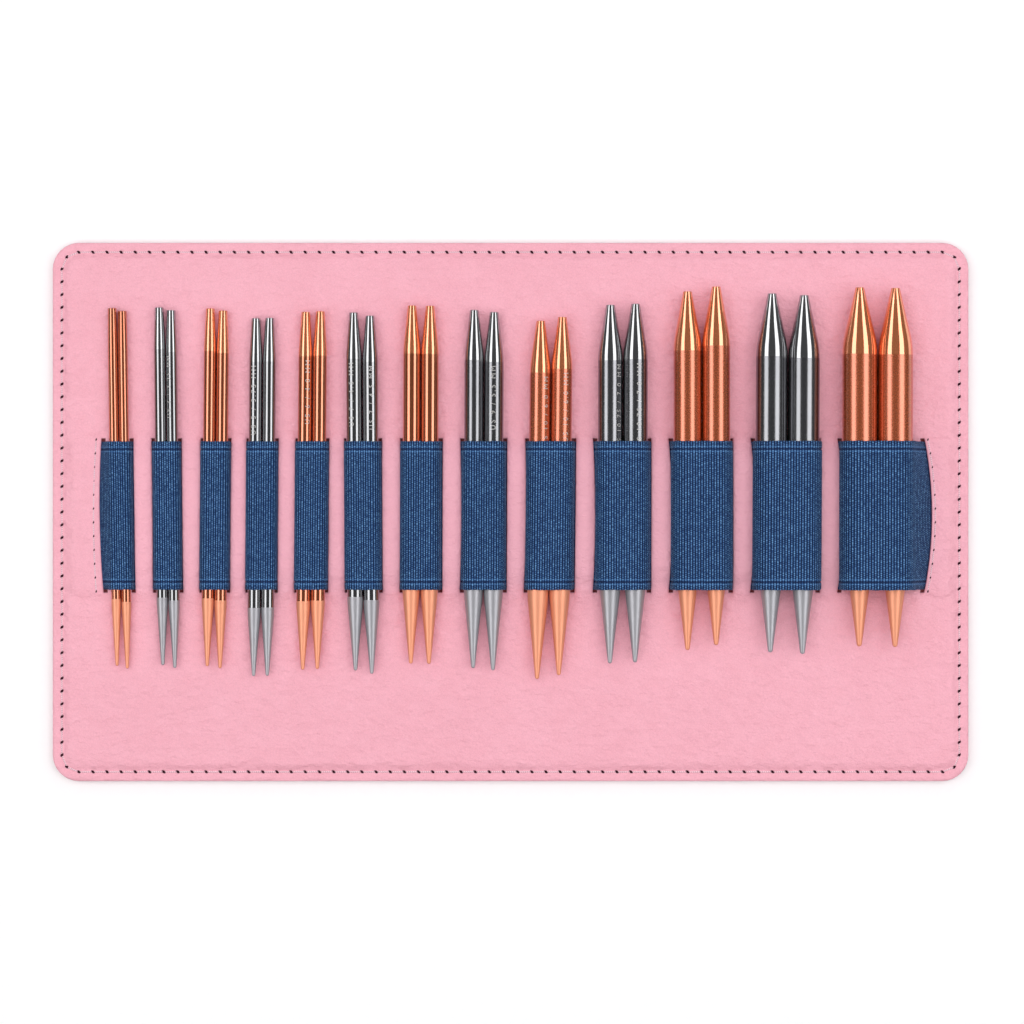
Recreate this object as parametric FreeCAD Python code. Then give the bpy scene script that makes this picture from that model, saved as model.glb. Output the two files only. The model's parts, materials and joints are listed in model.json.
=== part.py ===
import FreeCAD
import Part
import math
import os

# An interchangeable knitting needle set: thirteen pairs of screw-on needle tips, held on a stitched,
# leather-covered board by one woven elastic band.
#
# Millimetres.  The board lies flat: X runs along its long side, +Y points to the cord ends of the
# tips, +Z away from the table.  The origin is the centre of the board's back face.
#
# From the table upwards the board is back cover, stiffener board, foam and front cover.  The front
# cover wraps the edges of the stiffener.  Pairs of slits in it leave narrow bars, and the elastic
# runs under every bar and over every pair of tips.

Vec = FreeCAD.Vector

# ---- board ----
BOARD_W, BOARD_H = 262.0, 154.0
CORNER_R = 7.5
SKIN = 0.8                      # leather, front and back
STIFFENER = 1.8
FOAM = 0.7
PILLOW_EDGE, PILLOW_SLOPE = 4.2, 1.2        # raised middle: inset of its foot, width of its slope
FOAM_EDGE, FOAM_SLOPE = 5.0, 0.8

# ---- edge stitching ----
STITCH_INSET = 2.7
LONG_STITCHES, SHORT_STITCHES, CORNER_STITCHES = 61, 38, 3
THREAD_W, THREAD_H = 0.56, 0.28
STITCH_GAP = 0.5                # bare leather at each needle hole
GROOVE_W, GROOVE_DEPTH = 0.9, 0.35          # in the back cover, for the lower thread

# ---- elastic band ----
BAND_Y = -1.0                   # centre line of the band
BAND_W = 42.5
ELASTIC = 0.6
BEND_R = 0.6                    # centre line radius where the elastic turns up at a slit
BAND_END = 123.5                # the sewn-in tails stop here, left and right
BAR_W = 5.1                     # widest leather bar between two loops
FIRST_SLIT, LAST_SLIT = -116.6, 118.2
SLIT_W = 1.15
SLIT_OVER = 0.75                # how far a slit runs past the elastic at each end
RAMP = 1.8                      # slope where a bar rises from the cover
CREST_OVER = 1.4                # how far a bar stays at full height past the elastic
EASE = 0.02                     # room round the elastic under a bar
LEFT_SEAM, RIGHT_SEAM = 1.7, 0.9            # seams that hold its ends, outwards from the end slits
ANCHOR_STITCHES = 11

# ---- needle tips ----
TIP_LENGTH = 102.0              # 4 inch tips
CORD_END_D = 2.5                # face that meets the cord
CORD_END_EDGE = 0.08            # bevel round that face
SOCKET_R, SOCKET_DEPTH = 0.9, 8.0           # M1.8 cord thread
SHOULDER_REACH, HIP_REACH = 0.3, 0.4        # rounding above and below the shaft, for each mm of size
CLEAR = 0.12                    # tip to leather, tip to elastic
PAIR_GAP = 0.15                 # between the two tips of a pair

# size, centre of the pair at BAND_Y, lean in degrees (the point leans to +X), and how far up the
# board the cord ends of the left and right tip reach
PAIRS = [
    (2.75, -111.4, 0.8, 58.1, 57.3),
    (3.25, -97.9, 0.6, 58.3, 57.5),
    (3.5, -84.3, -0.5, 58.0, 57.4),
    (3.75, -71.0, -0.4, 55.2, 55.3),
    (4.0, -56.8, -0.5, 57.0, 57.2),
    (4.5, -42.1, 0.3, 56.8, 55.9),
    (5.0, -25.7, -0.2, 58.8, 58.7),
    (5.5, -7.7, -0.2, 57.5, 56.9),
    (6.0, 11.1, -0.6, 54.4, 55.5),
    (7.0, 31.9, -0.1, 58.9, 59.2),
    (8.0, 54.4, 0.0, 62.7, 64.1),
    (9.0, 78.6, -0.3, 62.1, 61.6),
    (10.0, 104.2, -0.1, 63.8, 63.6),
]

# ---- heights ----
Z_STIFFENER = SKIN
Z_FOAM = Z_STIFFENER + STIFFENER            # underside of foam and of the cover's border
Z_BORDER = Z_FOAM + SKIN                    # top of the border
Z_CHANNEL = Z_FOAM + FOAM                   # top of foam, where the elastic lies under a bar
Z_TOP = Z_CHANNEL + SKIN                    # top of the cover, where the tips lie
Z_BAR = Z_CHANNEL + ELASTIC + EASE + SKIN   # top of a bar


# ---------------------------------------------------------------- outlines

def rounded_outline(inset, z):
    """Closed wire of the board's outline, moved inwards by inset."""
    hw, hh = BOARD_W / 2 - inset, BOARD_H / 2 - inset
    r = max(CORNER_R - inset, 1.0)
    bulge = r * (1 - math.sqrt(0.5))
    edges = []
    corners = [(1, 1), (-1, 1), (-1, -1), (1, -1)]
    for k, (sx, sy) in enumerate(corners):
        along_x = Vec(sx * (hw - r), sy * hh, z)
        along_y = Vec(sx * hw, sy * (hh - r), z)
        middle = Vec(sx * (hw - bulge), sy * (hh - bulge), z)
        start, end = (along_y, along_x) if k % 2 == 0 else (along_x, along_y)
        if edges:
            edges.append(Part.LineSegment(previous, start).toShape())
        else:
            first = start
        edges.append(Part.Arc(start, middle, end).toShape())
        previous = end
    edges.append(Part.LineSegment(previous, first).toShape())
    return Part.Wire(edges)


def slab(inset, z0, z1):
    return Part.Face(rounded_outline(inset, z0)).extrude(Vec(0, 0, z1 - z0))


def pillow(inset, slope, z0, z1):
    """A slab whose sides slope inwards."""
    return Part.makeLoft([rounded_outline(inset, z0), rounded_outline(inset + slope, z1)], True, True)


def plan_prism(corners, z0, z1):
    """Prism over a polygon given by (x, y) corners."""
    points = [Vec(x, y, z0) for x, y in corners]
    return Part.Face(Part.makePolygon(points + points[:1])).extrude(Vec(0, 0, z1 - z0))


def box(x0, x1, y0, y1, z0, z1):
    return Part.makeBox(x1 - x0, y1 - y0, z1 - z0, Vec(x0, y0, z0))


# ---------------------------------------------------------------- layout of the loops

def lean_shift(lean, y):
    """X shift of a line that leans with its pair, at height y on the board."""
    return -math.tan(math.radians(lean)) * (y - BAND_Y)


def half_width(size):
    """From the centre of a pair to the outside of its elastic."""
    return size + PAIR_GAP / 2 + CLEAR + ELASTIC


def bar_edges():
    """(left, right) slit edges of the bars, the sewn-down ends of the band included."""
    edges = [(-BAND_END, FIRST_SLIT)]
    for (size, x, *_), (next_size, next_x, *_) in zip(PAIRS, PAIRS[1:]):
        left, right = x + half_width(size), next_x - half_width(next_size)
        centre, half = (left + right) / 2, min(BAR_W, right - left) / 2
        edges.append((centre - half, centre + half))
    return edges + [(LAST_SLIT, BAND_END)]


BARS = bar_edges()


# ---------------------------------------------------------------- elastic

def rise_angle(reach, height, radii):
    """Heading of the straight run that leaves one roller and wraps over another, turning the other
    way; reach and height are between the centres, radii is the sum of the two radii."""
    return math.atan2(height, reach) + math.asin(radii / math.hypot(reach, height))


def loop_path(size, x, slit_left, slit_right):
    """Centre line of the elastic over one pair, left to right, as lines and arcs in X and Z."""
    wrap = size / 2 + CLEAR + ELASTIC / 2
    low = Z_CHANNEL + ELASTIC / 2
    z_tip, z_bend = Z_TOP + CLEAR + size / 2, low + BEND_R
    offset = (size + PAIR_GAP) / 2
    left_reach = x - offset - slit_left
    right_reach = slit_right - x - offset
    up = rise_angle(left_reach, z_tip - z_bend, wrap + BEND_R)
    down = rise_angle(right_reach, z_tip - z_bend, wrap + BEND_R)
    quarter = math.pi / 2
    return [
        ("arc", slit_left, z_bend, BEND_R, -quarter, up - quarter),
        ("arc", x - offset, z_tip, wrap, up + quarter, quarter),
        ("arc", x + offset, z_tip, wrap, quarter, quarter - down),
        ("arc", slit_right, z_bend, BEND_R, 3 * quarter - down, 3 * quarter),
    ], low


def offset_arc(arc, shift):
    """Start, middle and end of an arc moved to the left of its heading by shift."""
    _, cx, cz, radius, a0, a1 = arc
    r = radius - shift if a1 > a0 else radius + shift
    return [Vec(cx + r * math.cos(a), 0, cz + r * math.sin(a)) for a in (a0, (a0 + a1) / 2, a1)]


def loop_face(size, x, slit_left, slit_right, x0, x1):
    """Section of the elastic from x0 to x1, in the XZ plane."""
    arcs, low = loop_path(size, x, slit_left, slit_right)
    edges = []
    ends = []
    for shift in (ELASTIC / 2, -ELASTIC / 2):
        here = first = Vec(x0, 0, low + shift)
        for arc in arcs:
            start, middle, end = offset_arc(arc, shift)
            edges.append(Part.LineSegment(here, start).toShape())
            edges.append(Part.Arc(start, middle, end).toShape())
            here = end
        last = Vec(x1, 0, low + shift)
        edges.append(Part.LineSegment(here, last).toShape())
        ends.append((first, last))
    for upper, lower in zip(*ends):
        edges.append(Part.LineSegment(upper, lower).toShape())
    return Part.Face(Part.Wire(Part.__sortEdges__(edges)))


def elastic_band():
    """One solid per loop; neighbours meet face to face under the middle of each bar."""
    loops = []
    meets = [-BAND_END] + [(a + b) / 2 for a, b in BARS[1:-1]] + [BAND_END]
    spare = 1.5     # each loop is built this much longer at both ends, then cut at its bars
    for k, (size, x, lean, *_) in enumerate(PAIRS):
        face = loop_face(size, x, BARS[k][1], BARS[k + 1][0], meets[k] - spare, meets[k + 1] + spare)
        y0, y1 = BAND_Y - BAND_W / 2, BAND_Y + BAND_W / 2
        face.translate(Vec(lean_shift(lean, y0), y0, 0))
        span = face.extrude(Vec(lean_shift(lean, y1) - lean_shift(lean, y0), y1 - y0, 0))
        keep = box(meets[k], meets[k + 1], y0, y1, Z_FOAM, Z_BAR + 3 * size)
        loops.append(span.common(keep).Solids[0])
    return Part.makeCompound(loops)


# ---------------------------------------------------------------- covers and core

def leaning_strip(x_left, lean_left, x_right, lean_right, half_y, z0, z1):
    """Prism between two lines that each lean with their own pair."""
    y0, y1 = BAND_Y - half_y, BAND_Y + half_y
    corners = [
        (x_left + lean_shift(lean_left, y0), y0),
        (x_right + lean_shift(lean_right, y0), y0),
        (x_right + lean_shift(lean_right, y1), y1),
        (x_left + lean_shift(lean_left, y1), y1),
    ]
    return plan_prism(corners, z0, z1)


def band_ridge():
    """The raised band, as long as the board is wide: ramps up and down along Y."""
    crest = BAND_W / 2 + CREST_OVER
    foot = crest + RAMP
    section = [(-foot, Z_CHANNEL), (-foot, Z_TOP), (-crest, Z_BAR), (crest, Z_BAR), (foot, Z_TOP),
               (foot, Z_CHANNEL)]
    points = [Vec(-BOARD_W / 2, BAND_Y + y, z) for y, z in section]
    return Part.Face(Part.makePolygon(points + points[:1])).extrude(Vec(BOARD_W, 0, 0)), foot


def end_slope(side):
    """Everything outside this wedge is cut off the band's sewn-down end."""
    foot, crest = BAND_END + RAMP, BAND_END + RAMP / 3
    section = [(0, Z_CHANNEL - 1), (foot, Z_CHANNEL - 1), (foot, Z_TOP), (crest, Z_BAR), (0, Z_BAR)]
    points = [Vec(side * x, -BOARD_H / 2, z) for x, z in section]
    return Part.Face(Part.makePolygon(points + points[:1])).extrude(Vec(0, BOARD_H, 0))


def front_cover():
    body = slab(0, Z_STIFFENER, Z_BORDER).fuse(pillow(PILLOW_EDGE, PILLOW_SLOPE, Z_BORDER, Z_TOP))
    body = body.cut(slab(SKIN, Z_STIFFENER, Z_FOAM)).cut(pillow(FOAM_EDGE, FOAM_SLOPE, Z_FOAM, Z_CHANNEL))
    ridge, foot = band_ridge()
    leans = [0.0] + [pair[2] for pair in PAIRS] + [0.0]
    for k, (left, right) in enumerate(BARS):
        first, last = k == 0, k == len(BARS) - 1
        outer_left = left - RAMP if first else left
        outer_right = right + RAMP if last else right
        plan = leaning_strip(outer_left, leans[k], outer_right, leans[k + 1], foot, Z_CHANNEL, Z_BAR)
        bar = ridge.common(plan)
        if first or last:
            bar = bar.common(end_slope(-1 if first else 1))
        body = body.fuse(bar)
    slit_half = BAND_W / 2 + SLIT_OVER
    for k, (left, right) in enumerate(BARS):
        first, last = k == 0, k == len(BARS) - 1
        inner_left = left if first else left - SLIT_W
        inner_right = right if last else right + SLIT_W
        body = body.cut(leaning_strip(inner_left, leans[k], inner_right, leans[k + 1],
                                      BAND_W / 2 + EASE, Z_CHANNEL, Z_CHANNEL + ELASTIC + EASE))
        if not first:
            body = body.cut(leaning_strip(left - SLIT_W, leans[k], left, leans[k], slit_half, Z_CHANNEL, Z_BAR))
        if not last:
            body = body.cut(leaning_strip(right, leans[k + 1], right + SLIT_W, leans[k + 1], slit_half,
                                          Z_CHANNEL, Z_BAR))
    return body.removeSplitter()


def back_cover():
    inner, outer = STITCH_INSET + GROOVE_W / 2, STITCH_INSET - GROOVE_W / 2
    groove = slab(outer, 0, GROOVE_DEPTH).cut(slab(inner, 0, GROOVE_DEPTH))
    return slab(0, 0, SKIN).cut(groove)


def stiffener_board():
    return slab(SKIN, Z_STIFFENER, Z_FOAM)


def foam_padding():
    return pillow(FOAM_EDGE, FOAM_SLOPE, Z_FOAM, Z_CHANNEL)


# ---------------------------------------------------------------- stitching

def needle_holes():
    """Where the thread passes through the border, in order round the board."""
    hw, hh = BOARD_W / 2 - STITCH_INSET, BOARD_H / 2 - STITCH_INSET
    r = CORNER_R - STITCH_INSET
    straight = [
        ((-hw + r, hh), (1, 0), 2 * (hw - r), LONG_STITCHES),
        ((hw, hh - r), (0, -1), 2 * (hh - r), SHORT_STITCHES),
        ((hw - r, -hh), (-1, 0), 2 * (hw - r), LONG_STITCHES),
        ((-hw, -hh + r), (0, 1), 2 * (hh - r), SHORT_STITCHES),
    ]
    centres = [(hw - r, hh - r), (hw - r, -hh + r), (-hw + r, -hh + r), (-hw + r, hh - r)]
    holes = []
    for side, ((x, y), (ux, uy), length, count) in enumerate(straight):
        holes += [(x + ux * length * k / count, y + uy * length * k / count) for k in range(count + 1)]
        cx, cy = centres[side]
        for k in range(1, CORNER_STITCHES):
            angle = math.radians(90 - 90 * side - 90 * k / CORNER_STITCHES)
            holes.append((cx + r * math.cos(angle), cy + r * math.sin(angle)))
    return holes


def stitch(start, end, z, up):
    """One low bead of thread, flat where it lies on the leather; up is 1 or -1."""
    run = Vec(end[0] - start[0], end[1] - start[1], 0)
    length = run.Length
    run.normalize()
    side = Vec(-run.y, run.x, 0)
    foot = Vec(start[0], start[1], z) + run * (STITCH_GAP / 2)
    section = [(-THREAD_W / 2, 0), (-THREAD_W / 4, THREAD_H), (THREAD_W / 4, THREAD_H), (THREAD_W / 2, 0)]
    points = [foot + side * s + Vec(0, 0, up * h) for s, h in section]
    return Part.Face(Part.makePolygon(points + points[:1])).extrude(run * (length - STITCH_GAP))


def edge_stitching(z, up):
    holes = needle_holes()
    return Part.makeCompound([stitch(a, b, z, up) for a, b in zip(holes, holes[1:] + holes[:1])])


def band_stitching():
    """The two seams that hold the tails of the elastic under the cover."""
    beads = []
    pitch = BAND_W / ANCHOR_STITCHES
    for x in (FIRST_SLIT - LEFT_SEAM, LAST_SLIT + RIGHT_SEAM):
        for k in range(ANCHOR_STITCHES):
            y = BAND_Y - BAND_W / 2 + k * pitch
            beads.append(stitch((x, y), (x, y + pitch), Z_BAR, 1))
    return Part.makeCompound(beads)


# ---------------------------------------------------------------- needle tips

def cord_taper(size):
    """Length of the polished end that narrows to the cord."""
    return 8.5 + 1.05 * size


def point_taper(size):
    """Length of the point."""
    return 18.0 + 2.5 * max(size - 4.0, 0.0)


def point_radius(size):
    return 0.35 + 0.04 * size


def shoulder(corner, before, after, reach):
    """Start, middle and end of the arc that rounds a corner, reach away from it on both sides."""
    u, v = before - corner, after - corner
    u.normalize()
    v.normalize()
    start, end = corner + u * reach, corner + v * reach
    half_turn = (math.pi - u.getAngle(v)) / 2
    inward = u + v
    inward.normalize()
    middle = corner + inward * (reach * math.tan(half_turn / 2))
    return start, middle, end


def tip_solid(size):
    """A tip along Y: cord end face at the origin, point towards -Y."""
    r, end_r, point_r = size / 2, CORD_END_D / 2, point_radius(size)
    cone_end = Vec(end_r, -CORD_END_EDGE, 0)
    shoulder_up = Vec(r, SHOULDER_REACH * size - cord_taper(size), 0)
    shoulder_down = Vec(r, -TIP_LENGTH + point_taper(size), 0)
    dome = Vec(0, -TIP_LENGTH + point_r, 0)
    slope = math.atan2(r - point_r, point_taper(size) - point_r)
    tangent = dome + Vec(point_r * math.cos(slope), -point_r * math.sin(slope), 0)
    nose_angle = (slope + math.pi / 2) / 2
    nose = dome + Vec(point_r * math.cos(nose_angle), -point_r * math.sin(nose_angle), 0)
    apex = Vec(0, -TIP_LENGTH, 0)
    up = shoulder(shoulder_up, cone_end, shoulder_down, SHOULDER_REACH * size)
    down = shoulder(shoulder_down, shoulder_up, tangent, HIP_REACH * size)
    outline = [
        Part.LineSegment(Vec(0, 0, 0), Vec(end_r - CORD_END_EDGE, 0, 0)),
        Part.LineSegment(Vec(end_r - CORD_END_EDGE, 0, 0), cone_end),
        Part.LineSegment(cone_end, up[0]),
        Part.Arc(*up),
        Part.LineSegment(up[2], down[0]),
        Part.Arc(*down),
        Part.LineSegment(down[2], tangent),
        Part.Arc(tangent, nose, apex),
        Part.LineSegment(apex, Vec(0, 0, 0)),
    ]
    face = Part.Face(Part.Wire([segment.toShape() for segment in outline]))
    body = face.revolve(Vec(0, 0, 0), Vec(0, 1, 0), 360)
    socket = Part.makeCylinder(SOCKET_R, SOCKET_DEPTH, Vec(0, 0, 0), Vec(0, -1, 0))
    return body.cut(socket)


def tip_placements():
    """(name, size, lean, cord end position) of every tip, left to right."""
    places = []
    for size, x, lean, *ends in PAIRS:
        for side, end_y in zip((-1, 1), ends):
            offset = side * (size + PAIR_GAP) / 2 / math.cos(math.radians(lean))
            name = f"{size:g}".replace(".", "_") + "mm_" + ("left" if side < 0 else "right")
            position = Vec(x + offset + lean_shift(lean, end_y), end_y, Z_TOP + CLEAR + size / 2)
            places.append((name, size, lean, position))
    return places


def needle_tip(size, lean, position):
    solid = tip_solid(size)
    solid.rotate(Vec(0, 0, 0), Vec(0, 0, 1), lean)
    solid.translate(position)
    return solid


# ---------------------------------------------------------------- export

def main():
    os.makedirs("parts", exist_ok=True)
    nodes = {
        "back_cover": back_cover(),
        "stiffener_board": stiffener_board(),
        "foam_padding": foam_padding(),
        "front_cover": front_cover(),
        "elastic_band": elastic_band(),
        "edge_stitching_front": edge_stitching(Z_BORDER, 1),
        "edge_stitching_back": edge_stitching(GROOVE_DEPTH, -1),
        "band_stitching": band_stitching(),
    }
    for name, size, lean, position in tip_placements():
        nodes["needle_tip_" + name] = needle_tip(size, lean, position)
    for name, shape in nodes.items():
        shape.exportStep(f"parts/{name}.step")
        solids = shape.Solids
        print(f"{name:32s} solids {len(solids):3d} volume {sum(s.Volume for s in solids):10.2f} "
              f"valid {shape.isValid()}")


main()
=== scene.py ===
import json
import math

import bmesh
import bpy
import numpy as np
from mathutils import Matrix, Vector


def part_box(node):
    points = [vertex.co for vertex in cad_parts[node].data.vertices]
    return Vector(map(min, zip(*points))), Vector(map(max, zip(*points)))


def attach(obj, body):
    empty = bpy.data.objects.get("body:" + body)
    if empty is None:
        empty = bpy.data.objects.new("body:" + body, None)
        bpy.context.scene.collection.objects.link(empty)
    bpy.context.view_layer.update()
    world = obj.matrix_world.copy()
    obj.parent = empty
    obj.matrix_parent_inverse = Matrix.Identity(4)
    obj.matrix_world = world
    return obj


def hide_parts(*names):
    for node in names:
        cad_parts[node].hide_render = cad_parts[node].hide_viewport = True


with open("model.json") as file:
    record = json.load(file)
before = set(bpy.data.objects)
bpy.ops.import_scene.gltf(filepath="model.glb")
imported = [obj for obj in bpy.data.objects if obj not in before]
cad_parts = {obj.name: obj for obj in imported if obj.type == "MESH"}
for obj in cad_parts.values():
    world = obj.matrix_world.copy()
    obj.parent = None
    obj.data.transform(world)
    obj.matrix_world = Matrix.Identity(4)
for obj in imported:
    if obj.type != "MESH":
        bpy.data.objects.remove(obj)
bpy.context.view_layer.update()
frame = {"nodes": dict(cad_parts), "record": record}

MM = 0.001

# Every length below is in millimetres, in the frame of the CAD: X along the board, +Y to the cord
# ends of the tips, +Z out of the face that carries them.  mesh_object() turns them into metres.


def top_of(node):
    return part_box(node)[1].z / MM


def bottom_of(node):
    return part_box(node)[0].z / MM


# ---- board ----
HALF_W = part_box("back_cover")[1].x / MM
HALF_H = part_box("back_cover")[1].y / MM
CORNER_R = 7.5
LEATHER = 0.8                               # thickness of both covers
Z_SEAM = top_of("back_cover")               # where the back and the front cover meet
Z_BORDER = bottom_of("foam_padding") + LEATHER      # top of the border
Z_CHANNEL = top_of("foam_padding")          # where the elastic lies under a bar
Z_TOP = Z_CHANNEL + LEATHER                 # top of the cover, where the tips lie
Z_BAR = top_of("front_cover")               # top of a flat bar

# ---- elastic ----
BAND_Y = -1.0
BAND_HALF = (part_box("elastic_band")[1].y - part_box("elastic_band")[0].y) / MM / 2
BAND_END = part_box("elastic_band")[1].x / MM
ELASTIC = 0.6                   # thickness
BEND_R = 0.6                    # centre line radius where the elastic turns up at a slit
CLEAR = 0.12                    # tip to leather, tip to elastic
PAIR_GAP = 0.15                 # between the two tips of a pair
BAR_W = 5.1                     # widest leather bar between two loops
FIRST_SLIT, LAST_SLIT = -116.6, 118.2
SLIT_W = 1.15
SLIT_HALF = BAND_HALF + 0.75
SELVEDGE = 2.4                  # from the elastic's edge to the groove beside it
FLAT_PITCH = 0.62               # rib pitch where the elastic lies flat
STEP = 0.12                     # between points on the elastic's centre line

# ---- how the taut elastic pulls the leather ----
LEFT_END_BOW, RIGHT_END_BOW = -0.8, 2.2     # sideways bow of the two outermost slits
BOW_PER_SIZE = 0.014            # bow of the other left slits, times the square of the tip size
LIFT_PER_SIZE = 0.095           # lift of a bar, for each millimetre of tip on both sides of it
LIFT_START, LIFT_FADE = 9.0, 3.0    # the lift fades from before the slits' ends to past them
LEAN_REACH = 4.0                # a slit's lean runs on this far past the elastic
LEAN_FADE = (8.0, 30.0)         # and fades out between these distances

# ---- stitching ----
STITCH_INSET = 2.7
LONG_STITCHES, SHORT_STITCHES, CORNER_STITCHES = 61, 38, 2
LEFT_SEAM, RIGHT_SEAM = 1.7, 0.9            # seams that hold the elastic, outwards from the end slits
SEAM_STITCHES = 11
STITCH_RINGS, STITCH_SIDES = 9, 8           # mesh of one stitch

# ---- tips ----
TIP_LENGTH = 102.0
CORD_END_D = 2.5
CORD_END_EDGE = 0.09            # rounding of the face that meets the cord
SOCKET_R, SOCKET_DEPTH = 0.9, 8.0
THREAD_PITCH, THREAD_DEPTH = 0.35, 0.11     # inside the socket
SHOULDER_REACH, HIP_REACH = 0.3, 0.4        # rounding above and below the shaft, for each mm of size
THIN = 5.2                      # thinner tips have a shaft that is nearly polished
THINNEST = 3.0                  # below this the cone has the shaft's finish too


def read_tips():
    """The tips from left to right, from the cord sockets that the record states."""
    tips = []
    for mount in frame["record"]["mounts"]:
        if not mount["name"].startswith("cord_socket_"):
            continue
        label = mount["name"].removeprefix("cord_socket_")
        x, y, z = (value / MM for value in mount["pos_m"])
        lean = math.atan2(-mount["axis"][0], mount["axis"][1])
        tips.append({
            "label": label,
            "size": float(label.split("mm")[0].replace("_", ".")),
            "place": Vector((x, y, z)),
            "lean": lean,
            "band_x": x + math.tan(lean) * (y - BAND_Y),
        })
    return sorted(tips, key=lambda tip: tip["band_x"])


TIPS = read_tips()
PAIRS = [
    {"size": a["size"], "x": (a["band_x"] + b["band_x"]) / 2, "lean": a["lean"]}
    for a, b in zip(TIPS[::2], TIPS[1::2])
]


def bar_edges():
    """(left, right) slit edges of the leather bars, the sewn-down ends of the band included."""
    edges = [(-BAND_END, FIRST_SLIT)]
    for here, after in zip(PAIRS, PAIRS[1:]):
        spare = PAIR_GAP / 2 + CLEAR + ELASTIC
        left = here["x"] + here["size"] + spare
        right = after["x"] - after["size"] - spare
        centre, half = (left + right) / 2, min(BAR_W, right - left) / 2
        edges.append((centre - half, centre + half))
    return edges + [(LAST_SLIT, BAND_END)]


BARS = bar_edges()
LEANS = [pair["lean"] for pair in PAIRS]
# The lean of the slit at the left and at the right edge of each bar.
BAR_LEANS = list(zip([0.0] + LEANS, LEANS + [0.0]))


def slit_bow(number, right):
    """How far the middle of a slit is pulled towards +X: thick tips bend the bars beside them."""
    if right:
        return RIGHT_END_BOW if number == len(PAIRS) - 1 else 0.0
    if number == 0:
        return LEFT_END_BOW
    return BOW_PER_SIZE * PAIRS[number]["size"] ** 2


# The bow at the left edge of each bar, which is a slit on the right of a pair, and at its right edge.
BAR_BOWS = [(0.0, slit_bow(0, False))]
BAR_BOWS += [(slit_bow(k, True), slit_bow(k + 1, False)) for k in range(len(PAIRS) - 1)]
BAR_BOWS += [(slit_bow(len(PAIRS) - 1, True), 0.0)]


def bar_lifts():
    """How far the taut elastic lifts the middle of each bar: most between the thickest pairs."""
    sizes = [pair["size"] for pair in PAIRS]
    return [0.0] + [LIFT_PER_SIZE * (a + b) for a, b in zip(sizes, sizes[1:])] + [0.0]


BAR_LIFTS = bar_lifts()


def lifted(y):
    """Share of a bar's lift along the bar: 1 in its middle, 0 a little past its ends."""
    return 1.0 - smoothstep(SLIT_HALF - LIFT_START, SLIT_HALF + LIFT_FADE, np.abs(y - BAND_Y))


# ---------------------------------------------------------------- meshes

def mesh_object(name, points, faces, materials, zones=None, body="holder"):
    """A smooth mesh from points in millimetres; zones gives each face its material."""
    mesh = bpy.data.meshes.new(name)
    mesh.from_pydata((np.asarray(points, float) * MM).tolist(), [], faces)
    for material in materials:
        mesh.materials.append(material)
    if zones is not None:
        mesh.polygons.foreach_set("material_index", zones)
    mesh.polygons.foreach_set("use_smooth", [True] * len(mesh.polygons))
    mesh.update()
    made = bpy.data.objects.new(name, mesh)
    bpy.context.scene.collection.objects.link(made)
    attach(made, body)
    return made


def store_weave(made, coordinates):
    """Keeps a pair of numbers for every point, for the material to read."""
    layer = made.data.attributes.new("weave", "FLOAT_VECTOR", "POINT")
    flat = np.zeros((len(coordinates), 3), np.float32)
    flat[:, :2] = coordinates
    layer.data.foreach_set("vector", flat.ravel())


def grid_faces(rows, columns, wrap=False):
    """Quads between neighbouring rows of points; wrap joins the last column to the first."""
    faces = []
    for j in range(rows - 1):
        for i in range(columns if wrap else columns - 1):
            after = (i + 1) % columns
            here, above = j * columns, (j + 1) * columns
            faces.append((here + i, here + after, above + after, above + i))
    return faces


def subdivided(breaks, step):
    """The sorted breaks, with even steps between them."""
    breaks = sorted(set(round(value, 4) for value in breaks))
    values = []
    for a, b in zip(breaks, breaks[1:]):
        count = max(1, math.ceil((b - a) / step - 0.01))
        values += [a + (b - a) * k / count for k in range(count)]
    return np.array(values + breaks[-1:])


def smoothstep(a, b, value):
    t = np.clip((value - a) / (b - a), 0.0, 1.0)
    return t * t * (3 - 2 * t)


# ---------------------------------------------------------------- materials

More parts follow.
